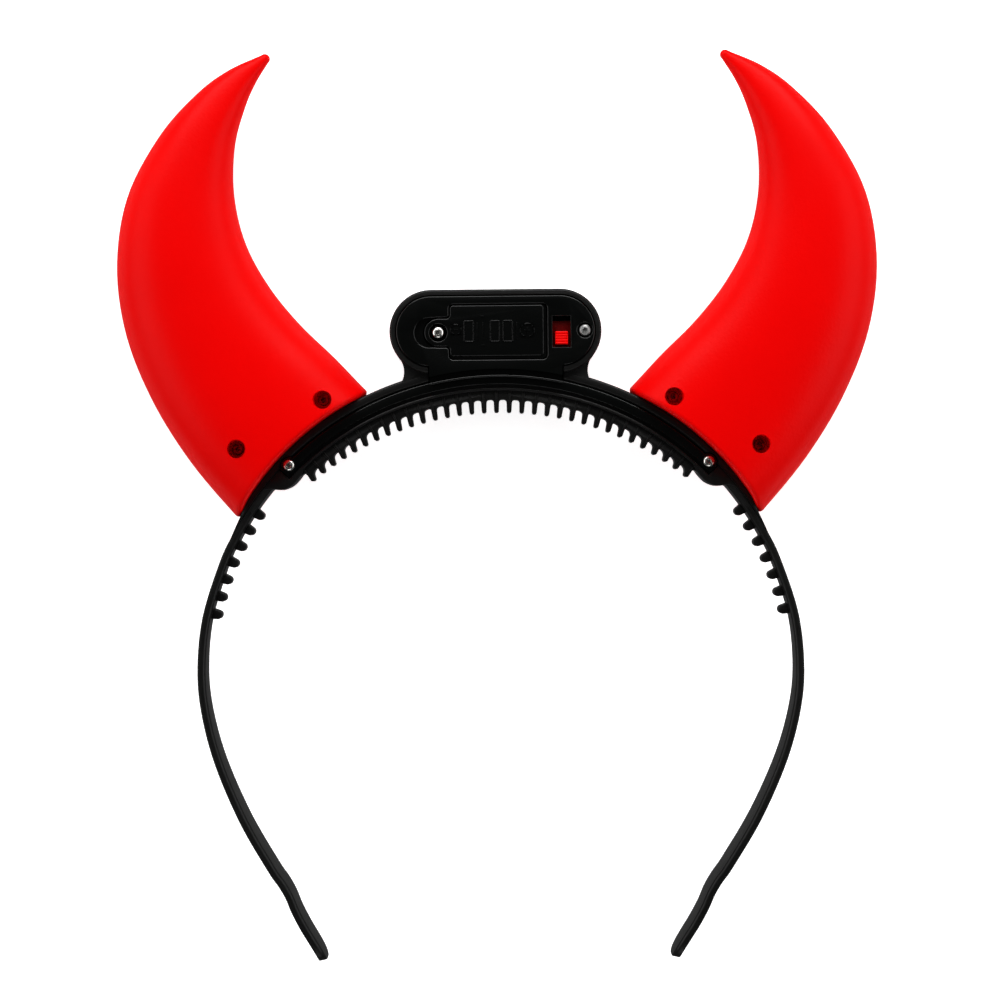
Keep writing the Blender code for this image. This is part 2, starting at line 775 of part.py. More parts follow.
def horn_rows(inset):
    """The horn's sections, drawn in by a wall's thickness where a wall is asked for."""
    made = []
    for outer_x, outer_y, inner_x, inner_y, depth in spline(HORN_SECTIONS, HORN_STEPS):
        outer, inner = Vector((outer_x, outer_y)), Vector((inner_x, inner_y))
        across = (inner - outer).normalized()
        if inset and (inner - outer).length < 4 * inset:
            break
        made.append((outer + across * inset, inner - across * inset, min(depth, MID) - inset))
    return made


def horn_half(name, sign, up, inset, look=None):
    """Half a horn, solid: each ring is half an oval that stands on the seam's plane."""
    seam = MID + up * (GAP / 2 if not inset else -GAP)
    rings = []
    for outer, inner, depth in horn_rows(inset):
        middle, half = (outer + inner) / 2, (inner - outer) / 2
        ring = [
            (sign * outer.x, outer.y, seam),
        ]
        for step in range(1, HORN_ARC_POINTS):
            turn = math.pi * step / HORN_ARC_POINTS
            along = -math.cos(turn)
            flat = math.copysign(abs(along) ** (2 / HORN_ROUNDNESS), along)
            lift = math.sin(turn) ** (2 / HORN_ROUNDNESS)
            spot = middle + half * flat
            height = MID + up * max(depth * lift, GAP)
            ring.append((sign * spot.x, spot.y, height))
        ring.append((sign * inner.x, inner.y, seam))
        rings.append(ring)
    return loft(name, rings, look)


def base_fan(name, sign, grow, low, high):
    """All that lies inside the horn's foot, which follows the arch's outer edge."""
    angles = [math.radians(8 + 6 * i) for i in range(11)]
    edge = [polar(rim_radius(a) + HORN_BASE_GAP + grow, sign * a) for a in angles]
    inner = [polar(ROOT_RADIUS / 2, sign * a) for a in (angles[-1], angles[0])]
    return prism(name, inner + edge, low, high)


def horn_shell(side, sign, up):
    """One half shell: hollow, with a foot wall, two bosses and holes for two screws."""
    name = f"horn_{side}_{'back' if up > 0 else 'front'}"
    far = MID + up * 0.02
    near = MID - up * 0.002
    span = (min(near, far), max(near, far))
    shell = horn_half(name, sign, up, 0, RED)
    hollow = horn_half(f"{name}_hollow", sign, up, HORN_WALL)
    cut(hollow, base_fan(f"{name}_foot", sign, HORN_WALL, *span))
    boss_start = MID + up * (TAB_THICK / 2 + GAP)
    for level in ("upper", "lower"):
        x, y = tab_places[f"{side}_{level}"]
        heights = sorted((boss_start, far))
        cut(hollow, prism(f"{name}_boss_{level}", circle(x, y, BOSS_RADIUS, 16), *heights))
    cut(shell, hollow, base_fan(f"{name}_base", sign, 0, *span))
    for level in ("upper", "lower"):
        x, y = tab_places[f"{side}_{level}"]
        tab_slot = tab_outline(x, y, TAB_HALF + GAP, RIM_RADIUS - 0.002)
        slot_half = TAB_THICK / 2 + GAP
        hole = circle(x, y, HOLE_RADIUS, 12)
        cut(shell, prism(f"{name}_slot_{level}", tab_slot, MID - slot_half, MID + slot_half))
        if up > 0:
            bore = circle(x, y, BORE_RADIUS, 18)
            cut(
                shell,
                prism(f"{name}_bore_{level}", bore, BORE_FLOOR, far),
                prism(f"{name}_hole_{level}", hole, MID, BORE_FLOOR + 0.001),
            )
        else:
            cut(shell, prism(f"{name}_hole_{level}", hole, FRONT_HOLE_FLOOR, MID))
    return shell


for side, sign in (("left", -1), ("right", 1)):
    for up in (1, -1):
        horn_shell(side, sign, up)
    for level in ("upper", "lower"):
        place = tab_places[f"{side}_{level}"]
        screw(f"horn_screw_{side}_{level}", *place, BORE_FLOOR, HORN_SCREW_LENGTH)
    screw(f"cover_screw_{side}", *screw_places[side], STRIP_TOP, END_SCREW_LENGTH)
screw("cover_screw_housing", *housing_place, COVER_TOP - SINK_DEPTH, HOUSING_SCREW_LENGTH)
screw("door_screw", *door_place, door_top - DOOR_SINK, HOUSING_SCREW_LENGTH)
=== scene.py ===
import math

import bmesh
import bpy
from mathutils import Matrix, Vector
from mathutils.bvhtree import BVHTree


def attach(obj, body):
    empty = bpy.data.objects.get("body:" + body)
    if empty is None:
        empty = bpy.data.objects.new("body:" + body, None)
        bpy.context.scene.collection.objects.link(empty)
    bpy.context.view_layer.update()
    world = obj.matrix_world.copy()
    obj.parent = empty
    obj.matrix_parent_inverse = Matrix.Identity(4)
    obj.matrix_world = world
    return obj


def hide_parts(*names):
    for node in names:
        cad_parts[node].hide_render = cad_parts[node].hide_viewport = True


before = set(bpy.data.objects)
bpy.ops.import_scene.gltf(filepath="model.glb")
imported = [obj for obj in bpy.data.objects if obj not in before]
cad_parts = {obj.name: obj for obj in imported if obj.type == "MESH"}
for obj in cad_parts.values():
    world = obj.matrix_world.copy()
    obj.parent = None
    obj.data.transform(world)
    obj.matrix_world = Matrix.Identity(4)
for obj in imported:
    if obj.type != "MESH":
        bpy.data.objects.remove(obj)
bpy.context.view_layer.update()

# The arch of the headband, the thick middle of one black ABS moulding. Its back has a
# seat for the cover's strip between a broad rim and a thin lip, and a flange below the
# lip. Shapes are drawn in millimetres about the CAD's origin, and `piece` makes metres.
MID = 11.5  # half the depth, the height of the horns' seam
ARCH_CENTRE = Vector((0, -41.2, 0))
ARCH_FRONT = MID - 5.0
RIM, RIM_TOP = 74.4, MID + 5.0
SEAT_OUTER, SEAT_INNER, SEAT_LEVEL = 72.4, 69.0, MID + 3.2
LIP_INNER, LIP_TOP = 68.3, MID + 4.3
FLANGE_INNER, FLANGE_LOW, FLANGE_TOP = 67.6, MID - 2.5, MID + 3.2
ARCH_HALF, SHOULDER_END = 46.0, 62.0  # degrees from the top
DRAW_START, DRAW_END, DRAW_IN = 24.5, 58.5, 1.1  # two angles and a length
ARM_START, ARM_RADIUS = 54.5, 72.4  # an angle and a radius
ARM_TOP = MID + 3.7


class Shade:
    """A shader socket that takes part in ordinary arithmetic."""

    def __init__(self, finish, socket):
        self.finish, self.socket = finish, socket

    def maths(self, operation, *values):
        return self.finish.node("Math", {"operation": operation}, dict(enumerate(values)))

    def __add__(self, other):
        return self.maths("ADD", self, other)

    def __sub__(self, other):
        return self.maths("SUBTRACT", self, other)

    def __rsub__(self, other):
        return self.maths("SUBTRACT", other, self)

    def __mul__(self, other):
        return self.maths("MULTIPLY", self, other)

    __radd__ = __add__
    __rmul__ = __mul__


class Finish:
    """A material in the making: its shader's own values, then nodes that vary them."""

    def __init__(self, name, **values):
        self.material = bpy.data.materials.new(name)
        self.material.use_nodes = True
        self.tree = self.material.node_tree
        self.shader = self.tree.nodes["Principled BSDF"]
        for label, value in values.items():
            self.shader.inputs[label.replace("_", " ")].default_value = value
        self.place = self.node("TexCoord", out="Object")

    def node(self, kind, settings=None, sockets=None, out=0):
        made = self.tree.nodes.new("ShaderNode" + kind)
        for name, value in (settings or {}).items():
            if name == "stops":
                ramp = made.color_ramp.elements
                while len(ramp) < len(value):
                    ramp.new(0.5)
                for stop, (position, colour) in zip(ramp, value):
                    stop.position, stop.color = position, (*colour, 1)
            else:
                setattr(made, name, value)
        for name, value in (sockets or {}).items():
            self.plug(made.inputs[name], value)
        return Shade(self, made.outputs[out])

    def plug(self, socket, value):
        if isinstance(value, Shade):
            self.tree.links.new(value.socket, socket)
        else:
            socket.default_value = value

    def noise(self, scale, detail=2.0, place=None):
        sockets = {"Vector": place or self.place, "Scale": scale, "Detail": detail}
        return self.node("TexNoise", None, sockets, "Fac")

    def ramp(self, factor, *stops):
        return self.node("ValToRGB", {"stops": stops}, {"Fac": factor}, "Color")

    def bump(self, height, distance):
        sockets = {"Height": height, "Distance": distance, "Strength": 1.0}
        self.plug(self.shader.inputs["Normal"], self.node("Bump", None, sockets, "Normal"))


def moulded_black(name, dark, light, roughness, sheen, grain):
    """Black ABS: faint tonal clouds, uneven sheen from handling, and a fine spark-eroded skin."""
    look = Finish(name, IOR=1.49, Specular_IOR_Level=sheen)
    clouds = look.noise(38, 3)
    specks = look.noise(2600, 2)
    tone = look.ramp(clouds * 0.75 + specks * 0.25, (0.30, dark), (0.72, light))
    look.plug(look.shader.inputs["Base Color"], tone)
    wiped = look.node("Mapping", None, {"Vector": look.place, "Scale": (1, 4, 1)}, "Vector")
    smears = look.noise(60, 4, wiped)
    look.plug(look.shader.inputs["Roughness"], smears * 0.12 + clouds * 0.04 + (roughness - 0.08))
    look.bump(look.noise(5200, 1) * 0.5 + look.noise(900, 2) * 0.5, grain)
    return look.material


def spot(radius, degrees, height=0):
    """A point by its distance from the arch's centre and its angle from the top."""
    turn = math.radians(degrees)
    return ARCH_CENTRE + Vector((radius * math.sin(turn), radius * math.cos(turn), height))


def angle_of(point):
    """The reverse: a point's angle from the top, in degrees."""
    return math.degrees(math.atan2(point.x, point.y - ARCH_CENTRE.y))


def rim_radius(degrees):
    """The outer edge draws in a little under the horns and then runs into the arm."""
    turned = abs(degrees)
    drawn = max(0, (min(turned, DRAW_END) - DRAW_START) / (DRAW_END - DRAW_START))
    radius = RIM - DRAW_IN * drawn**2
    share = max(0, (turned - ARM_START) / (SHOULDER_END - ARM_START))
    return radius + (ARM_RADIUS - radius) * share


def face_of(shape, corners, rounds=None, steps=4):
    """One flat face. `rounds` gives a radius for the corners, by number, that are rounded."""
    made = [shape.verts.new(corner) for corner in corners]
    shape.faces.new(made)
    for radius in sorted(set((rounds or {}).values())):
        bmesh.ops.bevel(
            shape,
            geom=[made[number] for number in rounds if rounds[number] == radius],
            offset=radius,
            segments=steps,
            profile=0.5,
            affect="VERTICES",
            material=-1,
        )


def merge(shape, part):
    """Puts a finished part into a larger shape."""
    bmesh.ops.remove_doubles(part, verts=part.verts, dist=0.0005)
    bmesh.ops.recalc_face_normals(part, faces=part.faces)
    mesh = bpy.data.meshes.new("part")
    part.to_mesh(mesh)
    part.free()
    shape.from_mesh(mesh)
    bpy.data.meshes.remove(mesh)


def spun(profile, rounds, start, end):
    """A profile of radius and height, swept about the arch's centre, a step for each degree."""
    part = bmesh.new()
    face_of(part, [spot(radius, 0, height) for radius, height in profile], rounds, 3)
    geometry = part.verts[:] + part.edges[:] + part.faces[:]
    turn = Matrix.Rotation(math.radians(-start), 3, "Z")
    bmesh.ops.rotate(part, verts=part.verts, cent=ARCH_CENTRE, matrix=turn)
    bmesh.ops.spin(
        part,
        geom=geometry,
        cent=ARCH_CENTRE,
        axis=(0, 0, 1),
        angle=math.radians(start - end),
        steps=round(abs(end - start)),
    )
    bmesh.ops.recalc_face_normals(part, faces=part.faces)
    return part


def plate(corners, low, high, rounds=None, edge=0.15, steps=6, edge_steps=2):
    """A plate with an outline in X and Y, its upper and lower rims eased."""
    part = bmesh.new()
    face_of(part, [(corner[0], corner[1], low) for corner in corners], rounds, steps)
    raised = bmesh.ops.extrude_face_region(part, geom=part.faces[:], use_keep_orig=True)
    moved = [item for item in raised["geom"] if isinstance(item, bmesh.types.BMVert)]
    bmesh.ops.translate(part, verts=moved, vec=(0, 0, high - low))
    bmesh.ops.recalc_face_normals(part, faces=part.faces)
    if edge:
        ease(part, (low, high), edge, edge_steps)
    return part


def ease(part, levels, width, steps=2, beyond=0):
    """Rounds the sharp edges at any of these heights, farther out than `beyond` on the arch."""
    part.normal_update()
    rims = [
        rim
        for rim in part.edges
        if len(rim.link_faces) == 2
        and rim.calc_face_angle() > 1.0
        and any(all(abs(end.co.z - level) < 0.002 for end in rim.verts) for level in levels)
        and all((end.co.xy - ARCH_CENTRE.xy).length > beyond for end in rim.verts)
    ]
    bmesh.ops.bevel(
        part,
        geom=rims,
        offset=width,
        segments=steps,
        profile=0.5,
        affect="EDGES",
        clamp_overlap=True,
        material=-1,
    )


def solid(name, part):
    mesh = bpy.data.meshes.new(name)
    part.to_mesh(mesh)
    part.free()
    made = bpy.data.objects.new(name, mesh)
    bpy.context.scene.collection.objects.link(made)
    return made


def carve(part, *cutters):
    """The part with each cutter's volume taken away."""
    body = solid("body", part)
    tools = [solid("tool", cutter) for cutter in cutters]
    for tool in tools:
        cut = body.modifiers.new("cut", "BOOLEAN")
        cut.operation, cut.solver, cut.object = "DIFFERENCE", "EXACT", tool
    graph = bpy.context.evaluated_depsgraph_get()
    carved = bmesh.new()
    carved.from_object(body, graph)
    for used in (body, *tools):
        bpy.data.meshes.remove(used.data, do_unlink=True)
    return carved


def piece(name, part, finish, replaces=(), body="band", sharp=38):
    """The finished piece: in metres, smooth but for its real corners, and riding on its body."""
    bmesh.ops.scale(part, verts=part.verts, vec=(0.001, 0.001, 0.001))
    made = solid(name, part)
    made.data.shade_smooth()
    made.data.set_sharp_from_angle(angle=math.radians(sharp))
    made.data.materials.append(finish)
    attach(made, body)
    if replaces:
        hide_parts(*replaces)


matte_black = moulded_black(
    "matte_black", (0.0013, 0.0013, 0.0012), (0.0032, 0.0031, 0.0029), 0.40, 0.26, 0.00005
)
arch_profile = (
    (RIM, ARCH_FRONT),
    (RIM, RIM_TOP),
    (SEAT_OUTER, RIM_TOP),
    (SEAT_OUTER, SEAT_LEVEL),
    (SEAT_INNER, SEAT_LEVEL),
    (SEAT_INNER, LIP_TOP),
    (LIP_INNER, LIP_TOP),
    (LIP_INNER, FLANGE_TOP),
    (FLANGE_INNER, FLANGE_TOP),
    (FLANGE_INNER, FLANGE_LOW),
    (LIP_INNER, FLANGE_LOW),
    (LIP_INNER, ARCH_FRONT),
)
arch_rounds = {0: 0.5, 1: 0.5, 2: 0.4, 5: 0.25, 6: 0.25, 11: 0.4}
arch = spun(arch_profile, arch_rounds, -ARCH_HALF, ARCH_HALF)
for corner in arch.verts:
    reach = (corner.co.xy - ARCH_CENTRE.xy).length
    if reach > SEAT_OUTER + 0.01:
        turned = angle_of(corner.co)
        share = (rim_radius(turned) - SEAT_OUTER) / (RIM - SEAT_OUTER)
        corner.co = spot(SEAT_OUTER + (reach - SEAT_OUTER) * share, turned, corner.co.z)


# The neck between the arch and the housing is of the same moulding: two concave webs,
# flush with the arch's rim, and a lower seat between them for the cover's neck.
HOUSING = Vector((-0.5, 41.1, 0))
END_X, END_RADIUS = 15.25, 9.9
FILLET = 5.2
WEB_FOOT = 72.9
NECK_HALF, NECK_LEVEL = 15.8, MID + 4.1
PLATE_RADIUS, PLATE_TOP, PLATE_THICK = 8.3, MID + 7.1, 1.5
CLEAR = 0.3  # the play between the cover and its seat
TUCK = 0.02  # keeps two faces out of one plane


def arc(centre_x, centre_y, radius, start, end, steps):
    """Points on a circle between two angles from +X."""
    turns = [math.radians(start + (end - start) * step / steps) for step in range(steps + 1)]
    return [(centre_x + radius * math.cos(a), centre_y + radius * math.sin(a)) for a in turns]


def on_housing(points):
    return [(HOUSING.x + x, HOUSING.y + y) for x, y in points]


def neck_foot(half, radius):
    """The curve along the arch that ends the neck, from its left to its right."""
    start, end = (math.degrees(math.asin((HOUSING.x + x) / radius)) for x in (-half, half))
    return [spot(radius, start + (end - start) * step / 24).xy for step in range(25)]


def neck_shape(half, radius, grow):
    top = HOUSING.y - PLATE_RADIUS + grow
    return [(HOUSING.x + half, top), (HOUSING.x - half, top)] + neck_foot(half, radius)


fillet_angle = math.radians(-38.6)
fillet_x = END_X + (END_RADIUS + FILLET - TUCK) * math.cos(fillet_angle)
fillet_y = (END_RADIUS + FILLET - TUCK) * math.sin(fillet_angle)
hollow = arc(fillet_x, fillet_y, FILLET, 141.4, 225, 20)
foot = [tuple(spot(WEB_FOOT, degrees).xy - HOUSING.xy) for degrees in range(18, -19, -2)]
web_corners = [(-12, -2), (12, -2)] + hollow + foot + [(-x, y) for x, y in reversed(hollow)]
web = plate(on_housing(web_corners), ARCH_FRONT + 0.2, RIM_TOP - TUCK, None, 0.3, 6, 3)


# The housing's tray, again of the same moulding: a round-ended box with a stepped rim that
# takes the cover. Its floor is the headband's front face.
TRAY_FRONT, TRAY_TOP, TRAY_FLOOR = MID - 7.5, MID + 6.8, 1.6
CAVITY_RADIUS = PLATE_RADIUS - 0.9
LOBE_RADIUS = 2.2
OVER = 30  # a height above everything, for what cuts from the back


def rectangle(left, low, right, high):
    """Four corners, anticlockwise from the lower left."""
    return [(left, low), (right, low), (right, high), (left, high)]


def circle(centre, radius, points=60, start=0):
    """A closed ring of points that doesn't repeat its first."""
    return arc(*centre.xy, radius, start, start + 360 - 360 / points, points - 1)


def round_ended(radius):
    """The housing's outline, at its end radius or set in from it."""
    right = arc(END_X, 0, radius, -90, 90, 40)
    return on_housing(right + [(-x, -y) for x, y in right])


SCREWS = {
    "door": HOUSING + Vector((-13.6, -0.3, 0)),
    "housing": HOUSING + Vector((21.2, 0, 0)),
    "left": spot(71.3, -44.4),
    "right": spot(71.3, 44.4),
}
tray = plate(round_ended(END_RADIUS), TRAY_FRONT, TRAY_TOP, None, 0.55, 6, 4)
neck_outline = neck_shape(NECK_HALF + CLEAR, SEAT_INNER + 0.3, CLEAR)
neck_seat = plate(neck_outline, NECK_LEVEL, OVER, None, 0)
lobe_seats = [
    plate(circle(SCREWS[side], LOBE_RADIUS), SEAT_LEVEL, OVER, None, 0)
    for side in ("left", "right")
]
cavity = plate(round_ended(CAVITY_RADIUS), TRAY_FRONT + TRAY_FLOOR, OVER, None, 0)
cover_seat = round_ended(PLATE_RADIUS + CLEAR)
band = bmesh.new()
merge(band, carve(arch, neck_seat.copy(), *lobe_seats))
merge(band, carve(web, cavity.copy(), neck_seat.copy()))
tray = carve(
    tray,
    cavity,
    plate(cover_seat, PLATE_TOP - PLATE_THICK - CLEAR, OVER, None, 0),
    neck_seat,
)
merge(band, tray)
CELL_BOX, SWITCH_BOX = rectangle(-11.4, -7.8, 12.6, 7.8), rectangle(14.15, -5.8, 17.15, 5.8)
for box, top in ((CELL_BOX, MID + 5.1), (SWITCH_BOX, MID + 4.0)):
    merge(band, plate(on_housing(box), TRAY_FRONT + 1.2, top))


# The shoulders, where the arch runs out into the arms. Each has a pad under the strip's
# end screw, slopes down to the arm's back edge, and is banked on the side of the head.
PAD_EDGE = (  # degrees from the top and radius
    (42.5, 68.3),
    (44.5, 67.6),
    (46.8, 67.5),
    (48.5, 68.3),
    (49.4, 69.3),
    (50.15, 70.45),
    (53.0, 70.7),
    (57.0, 70.6),
    (62.0, 70.6),
)
STRIP_END = 46.1
BANK_START, BANK_RUN = 49.8, 1.5  # degrees
BANK_TOP, BANK_FOOT, BANK_DROP = 71.9, 70.5, 0.62


def curve_through(rows, steps):
    """The rows with more between them, on a smooth curve through every row."""
    rows = [Vector(row) for row in rows]
    knots = [2 * rows[0] - rows[1], *rows, 2 * rows[-1] - rows[-2]]
    made = []
    for before, start, end, after in zip(knots, knots[1:], knots[2:], knots[3:]):
        for step in range(steps):
            t = step / steps
            bend = 2 * before - 5 * start + 4 * end - after
            bend += t * (3 * (start - end) + after - before)
            made.append(start + t * ((end - before) + t * bend) / 2)
    return made + [rows[-1]]


def slope(part, side_top):
    """Lowers the back of a shoulder from its height at the arch to the arm's edge."""
    for corner in part.verts:
        if corner.co.z > MID + 1:
            turned = abs(angle_of(corner.co))
            share = min(1, max(0, (turned - ARCH_HALF) / (SHOULDER_END - ARCH_HALF)))
            corner.co.z -= (side_top - ARM_TOP) * share


pad_rows = curve_through(PAD_EDGE, 5)
pad_start = STRIP_END + 0.25
pad_turns = [pad_start + (SHOULDER_END - pad_start) * step / 15 for step in range(16)]
bank_profile = (
    (BANK_TOP + 0.1, ARCH_FRONT + 0.5),
    (BANK_TOP + 0.1, LIP_TOP - 0.1),
    (BANK_FOOT, LIP_TOP - BANK_DROP),
    (BANK_FOOT, ARCH_FRONT + 0.5),
)
rim_profile = (
    (RIM, ARCH_FRONT),
    (RIM, RIM_TOP),
    (SEAT_OUTER, RIM_TOP),
    (SEAT_OUTER, ARCH_FRONT),
)
for sign, screw_side in ((-1, "left"), (1, "right")):
    low_edge = [spot(radius, sign * degrees).xy for degrees, radius in pad_rows]
    top_edge = []
    for degrees, radius in pad_rows:
        share = min(1, max(0, (degrees - BANK_START) / BANK_RUN))
        top_edge.append(spot(radius + share * (BANK_TOP - BANK_FOOT), sign * degrees).xy)
    top_outer = [spot(SEAT_OUTER + 0.05, sign * degrees).xy for degrees in pad_turns]
    low_outer = [spot(SEAT_OUTER + 0.05, sign * (45.9 + step)).xy for step in range(17)]
    step_in = [spot(SEAT_INNER, sign * degrees).xy for degrees in (pad_start, 44.5, 42.6)]
    base = plate(low_edge + low_outer[::-1], ARCH_FRONT, SEAT_LEVEL - 0.01, None, 0.3, 6, 3)
    pad = plate(top_edge + top_outer[::-1] + step_in, MID, LIP_TOP - TUCK, None, 0.16)
    bank = spun(bank_profile, {2: 0.25}, sign * BANK_START, sign * SHOULDER_END)
    slope(bank, LIP_TOP)
    lobe = plate(circle(SCREWS[screw_side], LOBE_RADIUS), SEAT_LEVEL, OVER, None, 0)
    pad = carve(pad, lobe.copy())
    slope(pad, LIP_TOP)
    rim_end = spun(rim_profile, {0: 0.3, 1: 0.3}, sign * (ARCH_HALF - 0.05), sign * SHOULDER_END)
    for corner in rim_end.verts:
        reach = (corner.co.xy - ARCH_CENTRE.xy).length
        turned = angle_of(corner.co)
        if reach > SEAT_OUTER + 0.01:
            reach = SEAT_OUTER + (reach - SEAT_OUTER) * (rim_radius(turned) - SEAT_OUTER) / 2
        else:
            reach = min(reach, rim_radius(turned) - 0.4)
        corner.co = spot(reach, turned, corner.co.z)
    rim_end = carve(rim_end, lobe)
    slope(rim_end, RIM_TOP)
    for part in (base, pad, bank, rim_end):
        merge(band, part)
piece("band_moulding", band, matte_black, ["headband"])


# The comb: 33 teeth under the arch, moulded with it. Each tapers to a round tip, carries a
# low rib that runs up over the flange, and leans a little towards straight down.
TEETH_EACH_SIDE = 16
LEFT_PITCH, RIGHT_PITCH, COMB_TURN = 2.671, 2.727, -0.4
ROOT, TIP, RISE = 66.25, 63.1, 1.7
ROOT_RISE, ROOT_HALF, ROOT_SPREAD, ROOT_ROUND = 0.2, 0.68, 0.12, 0.6
TIP_HALF, TIP_ROUND, END_LIFT = 0.54, 0.48, 0.9
COMB_MIDDLE, COMB_REACH, LEAN = -2.0, 43, 0.6
comb_edge, comb_rounds, ribs = [], {}, []
for number in range(-TEETH_EACH_SIDE, TEETH_EACH_SIDE + 1):
    angle = number * (LEFT_PITCH if number < 0 else RIGHT_PITCH) + COMB_TURN
    share = ((angle - COMB_MIDDLE) / COMB_REACH) ** 2
    tip = spot(TIP + RISE * share, angle, FLANGE_LOW)
    lean = math.radians(angle * LEAN)
    down = Vector((-math.sin(lean), -math.cos(lean), 0))
    side = Vector((-down.y, down.x, 0))
    root = tip - down * (ROOT + ROOT_RISE * share - TIP - RISE * share)
    half = ROOT_HALF + ROOT_SPREAD * share
    left_lift, right_lift = (END_LIFT * (number == end * TEETH_EACH_SIDE) for end in (-1, 1))
    for corner, radius in (
        (root - side * half - down * left_lift, ROOT_ROUND),
        (tip - side * TIP_HALF, TIP_ROUND),
        (tip + side * TIP_HALF, TIP_ROUND),
        (root + side * half - down * right_lift, ROOT_ROUND),
    ):
        comb_rounds[len(comb_edge)] = radius
        comb_edge.append(corner)
    ribs.append((spot(68.25, angle, FLANGE_TOP - 0.3), tip - down * 0.5, side))
comb_back = [spot(67.9, COMB_TURN + step * 1.36) for step in range(33, -34, -1)]
comb_edge += [spot(67.7, COMB_TURN + 44.7)] + comb_back + [spot(67.7, COMB_TURN - 44.7)]
comb = plate(comb_edge, FLANGE_LOW, FLANGE_TOP - 0.01, comb_rounds, 0.14, 5)
for top, tip, side in ribs:
    rib = [top - side * 0.34, tip - side * 0.20, tip + side * 0.20, top + side * 0.34]
    merge(comb, plate(rib, FLANGE_TOP - 0.3, FLANGE_TOP + 0.24, None, 0.18))
piece("comb_teeth", comb, matte_black)


# The two arms: flat springy strips on edge, of the same moulding, that widen towards the
# tips and turn out a little there. Seven short teeth stand on the inside of each. Both
# have taken a slight set to one side.
ARM_THICK, INNER_ROUND, OUTER_ROUND = 1.95, 0.85, 0.35
ARM_SET = 0.9
ARM_TEETH, ARM_TOOTH_START, ARM_TOOTH_PITCH = 7, 55.7, 3.57
TOOTH_ROOT, TOOTH_TIP = (71.4, 1.35), (68.2, 0.92)  # radius and half width
ARM_ROWS = (  # outer edge x and y, width in height
    (60.1, -0.7, 7.4),
    (64.0, -7.3, 7.4),
    (66.9, -13.5, 7.6),
    (70.9, -26.0, 8.2),
    (72.2, -38.0, 9.2),
    (71.4, -48.5, 10.3),
    (68.1, -61.0, 11.7),
    (62.0, -75.0, 12.8),
    (55.2, -86.6, 12.9),
    (52.7, -90.2, 12.7),
    (51.0, -93.1, 12.5),
    (49.5, -96.6, 12.2),
    (47.5, -100.4, 11.9),
    (45.3, -104.0, 11.5),
    (44.1, -106.0, 10.9),
    (43.4, -107.3, 9.8),
    (43.1, -108.0, 8.4),
    (43.0, -108.45, 6.0),
)


def loft(rings, filled=(0, -1)):
    """A skin over closed rings of points, with its ends filled."""
    part = bmesh.new()
    loops = []
    for ring in rings:
        corners = [part.verts.new(point) for point in ring]
        loops.append([part.edges.new(pair) for pair in zip(corners, corners[1:] + corners[:1])])
    for lower, upper in zip(loops, loops[1:]):
        bmesh.ops.bridge_loops(part, edges=lower + upper)
    for end in filled:
        bmesh.ops.contextual_create(part, geom=loops[end])
    bmesh.ops.recalc_face_normals(part, faces=part.faces)
    return part


arms = bmesh.new()
rows = curve_through(ARM_ROWS, 6)
for sign in (-1, 1):
    rings = []
    for number, row in enumerate(rows):
        ahead, behind = rows[min(number + 1, len(rows) - 1)], rows[max(number - 1, 0)]
        run = Vector((ahead[0] - behind[0], ahead[1] - behind[1], 0)).normalized()
        inward = Vector((run.y, -run.x, 0))
        corner = Vector((row[0], row[1], MID))
        half = row[2] / 2
        sway = ARM_SET * max(0, (-row[1] - 45) / 60) ** 1.5
        section = arc(OUTER_ROUND, OUTER_ROUND - half, OUTER_ROUND, 180, 270, 3)
        section += arc(ARM_THICK - INNER_ROUND, INNER_ROUND - half, INNER_ROUND, 270, 360, 6)
        section += arc(ARM_THICK - INNER_ROUND, half - INNER_ROUND, INNER_ROUND, 0, 90, 6)
        section += arc(OUTER_ROUND, half - OUTER_ROUND, OUTER_ROUND, 90, 180, 3)
        points = [corner + inward * across + Vector((0, 0, up)) for across, up in section]
        rings.append([(sign * point.x - sway, point.y, point.z) for point in points])
    merge(arms, loft(rings))
    for number in range(ARM_TEETH):
        out = spot(1, sign * (ARM_TOOTH_START + number * ARM_TOOTH_PITCH)) - ARCH_CENTRE
        out.normalize()
        side = Vector((out.y, -out.x, 0))
        tooth = [
            ARCH_CENTRE + out * radius + side * (half * way)
            for (radius, half), way in (
                (TOOTH_ROOT, -1), (TOOTH_TIP, -1), (TOOTH_TIP, 1), (TOOTH_ROOT, 1)
            )
        ]
        merge(arms, plate(tooth, FLANGE_LOW, MID + 2.0, {1: 0.84, 2: 0.84}, 0.2, 5, 3))
piece("spring_arms", arms, matte_black)


# The back cover, a second black moulding, smoother than the band: a round-ended plate
# whose neck steps down to the strip along the arch. It is held by three screws.
DOOR_LEFT, DOOR_RIGHT, DOOR_LOW, DOOR_HIGH = -10.8, 12.0, -6.5, 6.1
LUG_X, LUG_Y, LUG_RADIUS = -13.6, -0.3, 3.3
SLOT_X, SLOT_HALF, SLOT_LOW, SLOT_HIGH = 15.65, 2.15, -4.0, 3.4
COVER_FOOT, RIDGE_INNER, RIDGE_OUTER = 73.3, 71.4, 71.9
STRIP_INNER, STRIP_OUTER = 69.8, 72.1
satin_black = moulded_black(
    "satin_black", (0.0004, 0.0006, 0.0005), (0.0011, 0.0014, 0.0013), 0.22, 0.36, 0.00002
)


